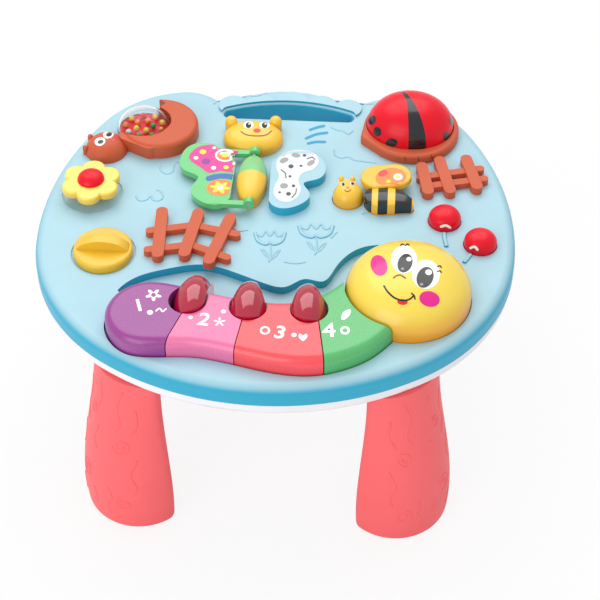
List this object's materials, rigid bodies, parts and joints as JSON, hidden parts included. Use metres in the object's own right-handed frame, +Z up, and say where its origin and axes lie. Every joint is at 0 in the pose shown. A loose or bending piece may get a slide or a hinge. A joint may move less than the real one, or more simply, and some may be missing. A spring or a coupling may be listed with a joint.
{
  "type": "musical activity table",
  "caption": "Toddler's musical activity table: round-cornered deck on four trunk legs, worm-shaped keyboard, push-button animals, turning page, spinner, dial and a carry-handle slot.",
  "frame": {"origin": "centre of the footprint of the whole table, on the floor", "axes": "+X to the player's right, +Y to the back where the carry handle is, +Z up"},
  "size_m": [0.3664, 0.3408, 0.207],
  "materials": {
    "deck_blue": "satin moulded plastic",
    "shell_white": "satin moulded plastic",
    "leg_coral": "satin moulded plastic",
    "key_purple": "gloss",
    "key_pink": "gloss",
    "key_salmon": "gloss",
    "key_green": "gloss",
    "lens_ruby": "translucent",
    "yellow": "gloss",
    "red": "gloss",
    "black": "gloss",
    "brown": "satin",
    "clear": "clear",
    "beads": "mixed colours",
    "green": "gloss",
    "steel": "plated",
    "board": "circuit board",
    "silicone": "silicone",
    "speaker_black": "paper cone and steel"
  },
  "bodies": {
    "root": {"top_deck": "deck_blue", "bottom_shell": "shell_white", "battery_door": "shell_white", "switch_housing": "shell_white", "front_left_leg": "leg_coral", "front_right_leg": "leg_coral", "back_left_leg": "leg_coral", "back_right_leg": "leg_coral", "key_light_1": "lens_ruby", "key_light_2": "lens_ruby", "key_light_3": "lens_ruby", "butterfly_head": "yellow", "butterfly_body_lower": "yellow", "flower_spindle": "yellow", "snail_bead_tray": "red", "ladybug_bezel": "brown", "snail_body": "brown", "left_fence": "brown", "right_fence": "brown", "snail_window": "clear", "snail_beads": "beads", "butterfly_body_upper": "green", "key_pivot_pins": "steel", "butterfly_wing_pin": "steel", "battery_contacts": "steel", "battery_door_screw": "steel", "case_screws": "steel", "key_circuit_board": "board", "button_circuit_board": "board", "speaker": "speaker_black", "contact_key_1": "silicone", "contact_key_2": "silicone", "contact_key_3": "silicone", "contact_key_4": "silicone", "contact_head": "silicone", "contact_ladybug": "silicone", "contact_bee": "silicone", "contact_antenna_left": "silicone", "contact_antenna_right": "silicone"},
    "first_key": {"key_1": "key_purple"},
    "second_key": {"key_2": "key_pink"},
    "third_key": {"key_3": "key_salmon"},
    "fourth_key": {"key_4": "key_green"},
    "head_button": {"worm_head": "yellow"},
    "ladybug_button": {"ladybug_wings": "red", "ladybug_body": "black"},
    "bee_button": {"bee_body": "yellow", "bee_stripes": "black", "bee_wing": "yellow"},
    "left_antenna": {"antenna_button_left": "red"},
    "right_antenna": {"antenna_button_right": "red"},
    "wing_page": {"butterfly_wing": "green"},
    "flower": {"flower_petals": "yellow", "flower_heart": "red"},
    "dial": {"dial_knob": "yellow", "knob_clip": "black"},
    "switch_slider": {"power_switch": "black"}
  },
  "joints": [
    {"name": "key_1_press", "type": "hinge", "parent": "root", "child": "first_key", "pos_m": [-0.092, -0.088, 0.159], "axis": [1, 0, 0], "range_deg": [0, 2.5], "stiffness_Nm_per_rad": 1, "springref_deg": -2.29, "deforming": ["contact_key_1"]},
    {"name": "key_2_press", "type": "hinge", "parent": "root", "child": "second_key", "pos_m": [-0.04, -0.096, 0.159], "axis": [1, 0, 0], "range_deg": [0, 2.5], "stiffness_Nm_per_rad": 1, "springref_deg": -2.29, "deforming": ["contact_key_2"]},
    {"name": "key_3_press", "type": "hinge", "parent": "root", "child": "third_key", "pos_m": [0.006, -0.101, 0.159], "axis": [1, 0, 0], "range_deg": [0, 2.5], "stiffness_Nm_per_rad": 1, "springref_deg": -2.29, "deforming": ["contact_key_3"]},
    {"name": "key_4_press", "type": "hinge", "parent": "root", "child": "fourth_key", "pos_m": [0.0465, -0.087, 0.159], "axis": [1, 0, 0], "range_deg": [0, 2.5], "stiffness_Nm_per_rad": 1, "springref_deg": -2.29, "deforming": ["contact_key_4"]},
    {"name": "head_press", "type": "slide", "parent": "root", "child": "head_button", "axis": [0, 0, -1], "range_m": [0, 0.0025], "stiffness_N_per_m": 400, "springref_m": -0.003, "deforming": ["contact_head"]},
    {"name": "ladybug_press", "type": "slide", "parent": "root", "child": "ladybug_button", "axis": [0, 0, -1], "range_m": [0, 0.003], "stiffness_N_per_m": 400, "springref_m": -0.003, "deforming": ["contact_ladybug"]},
    {"name": "bee_press", "type": "slide", "parent": "root", "child": "bee_button", "axis": [0, 0, -1], "range_m": [0, 0.002], "stiffness_N_per_m": 400, "springref_m": -0.003, "deforming": ["contact_bee"]},
    {"name": "left_antenna_press", "type": "slide", "parent": "root", "child": "left_antenna", "axis": [0, 0, -1], "range_m": [0, 0.002], "stiffness_N_per_m": 400, "springref_m": -0.003, "deforming": ["contact_antenna_left"]},
    {"name": "right_antenna_press", "type": "slide", "parent": "root", "child": "right_antenna", "axis": [0, 0, -1], "range_m": [0, 0.002], "stiffness_N_per_m": 400, "springref_m": -0.003, "deforming": ["contact_antenna_right"]},
    {"name": "wing_turn", "type": "hinge", "parent": "root", "child": "wing_page", "pos_m": [-0.022, 0.0445, 0.181], "axis": [0, 1, 0], "range_deg": [0, 178]},
    {"name": "flower_spin", "type": "hinge", "parent": "root", "child": "flower", "pos_m": [-0.146, 0.029, 0.18], "axis": [0, 0, 1], "continuous": true},
    {"name": "dial_turn", "type": "hinge", "parent": "root", "child": "dial", "pos_m": [-0.128, -0.038, 0.17], "axis": [0, 0, 1], "continuous": true},
    {"name": "power_slide", "type": "slide", "parent": "root", "child": "switch_slider", "axis": [1, 0, 0], "range_m": [-0.004, 0.004]}
  ]
}
